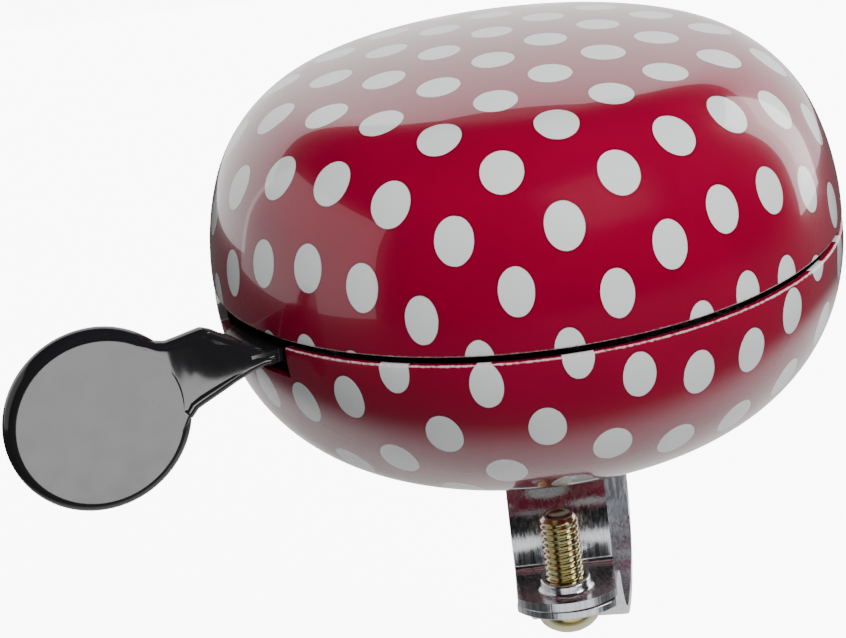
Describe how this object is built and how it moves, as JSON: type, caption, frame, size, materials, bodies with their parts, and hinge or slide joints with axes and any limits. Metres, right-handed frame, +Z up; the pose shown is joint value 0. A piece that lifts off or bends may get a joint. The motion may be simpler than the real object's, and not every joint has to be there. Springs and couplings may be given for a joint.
{
  "type": "bicycle bell",
  "caption": "Round double-dome bicycle bell in polka-dot paint with a side thumb lever, geared internal hammers and a steel handlebar clamp.",
  "frame": {"origin": "on the bell's axis, where the clamp sits on top of the handlebar", "axes": "+Z up along the bell's axis, X along the handlebar, -Y towards the clamp bolt"},
  "size_m": [0.1035, 0.08, 0.0791],
  "materials": {
    "crimson_paint": "gloss crimson enamel with white dots",
    "black_plastic": "polished moulded black",
    "chrome": "bright plated strip",
    "gold_zinc": "yellow passivated zinc",
    "zinc_steel": "clear zinc plate",
    "spring_steel": "oiled spring steel",
    "brass": "turned brass",
    "white_nylon": "natural moulded nylon",
    "black_rubber": "soft black rubber",
    "grey_fibre": "pressed fibre"
  },
  "bodies": {
    "bell_body": {"upper_dome": "crimson_paint", "lower_dome": "crimson_paint", "dome_boss": "zinc_steel", "dome_lock_washer": "zinc_steel", "dome_lock_nut": "zinc_steel", "centre_stud": "zinc_steel", "spacer_sleeve": "zinc_steel", "outer_seat_washer": "grey_fibre", "inner_seat_washer": "grey_fibre", "base_plate": "zinc_steel", "bearing_bush": "brass", "rotor_washer": "zinc_steel", "bush_nut": "zinc_steel", "stop_bumper": "black_rubber", "lever_pivot_pin": "zinc_steel", "pivot_clip": "spring_steel", "return_spring": "spring_steel", "clamp_bracket": "chrome"},
    "lever": {"thumb_lever": "black_plastic"},
    "rotor": {"rotor_pinion": "white_nylon", "rotor_arm": "zinc_steel", "upper_hammer_pin": "zinc_steel", "lower_hammer_pin": "zinc_steel"},
    "upper_striker": {"upper_hammer": "zinc_steel"},
    "lower_striker": {"lower_hammer": "zinc_steel"},
    "bolt": {"clamp_bolt": "gold_zinc"},
    "strap": {"clamp_strap": "chrome"}
  },
  "joints": [
    {"name": "lever_press", "type": "hinge", "parent": "bell_body", "child": "lever", "pos_m": [-0.02035, -0.01272, 0.025], "axis": [0, 0, 1], "range_deg": [-24, 0], "stiffness_Nm_per_rad": 0.03, "springref_deg": 20.05, "deforming": ["return_spring"]},
    {"name": "rotor_spin", "type": "hinge", "parent": "bell_body", "child": "rotor", "pos_m": [0, 0, 0.027], "axis": [0, 0, 1], "range_deg": [0, 65]},
    {"name": "upper_hammer_swing", "type": "hinge", "parent": "rotor", "child": "upper_striker", "pos_m": [-0.01138, 0.01263, 0.034], "axis": [0, 0, 1], "range_deg": [-20, 14]},
    {"name": "lower_hammer_swing", "type": "hinge", "parent": "rotor", "child": "lower_striker", "pos_m": [0.01138, -0.01263, 0.026], "axis": [0, 0, 1], "range_deg": [-20, 14]},
    {"name": "bolt_travel", "type": "slide", "parent": "bell_body", "child": "bolt", "axis": [0, 0, -1], "range_m": [0, 0.003], "stiffness_N_per_m": 3000},
    {"name": "strap_open", "type": "hinge", "parent": "bell_body", "child": "strap", "pos_m": [0.00341, 0.01166, -0.007], "axis": [0.9936, -0.1132, 0], "range_deg": [0, 5.5]}
  ],
  "couplings": [
    {"joint": "rotor_spin", "follows": "lever_press", "ratio": -2.6923},
    {"joint": "strap_open", "follows": "bolt_travel", "rad_per_m": 29.5}
  ]
}
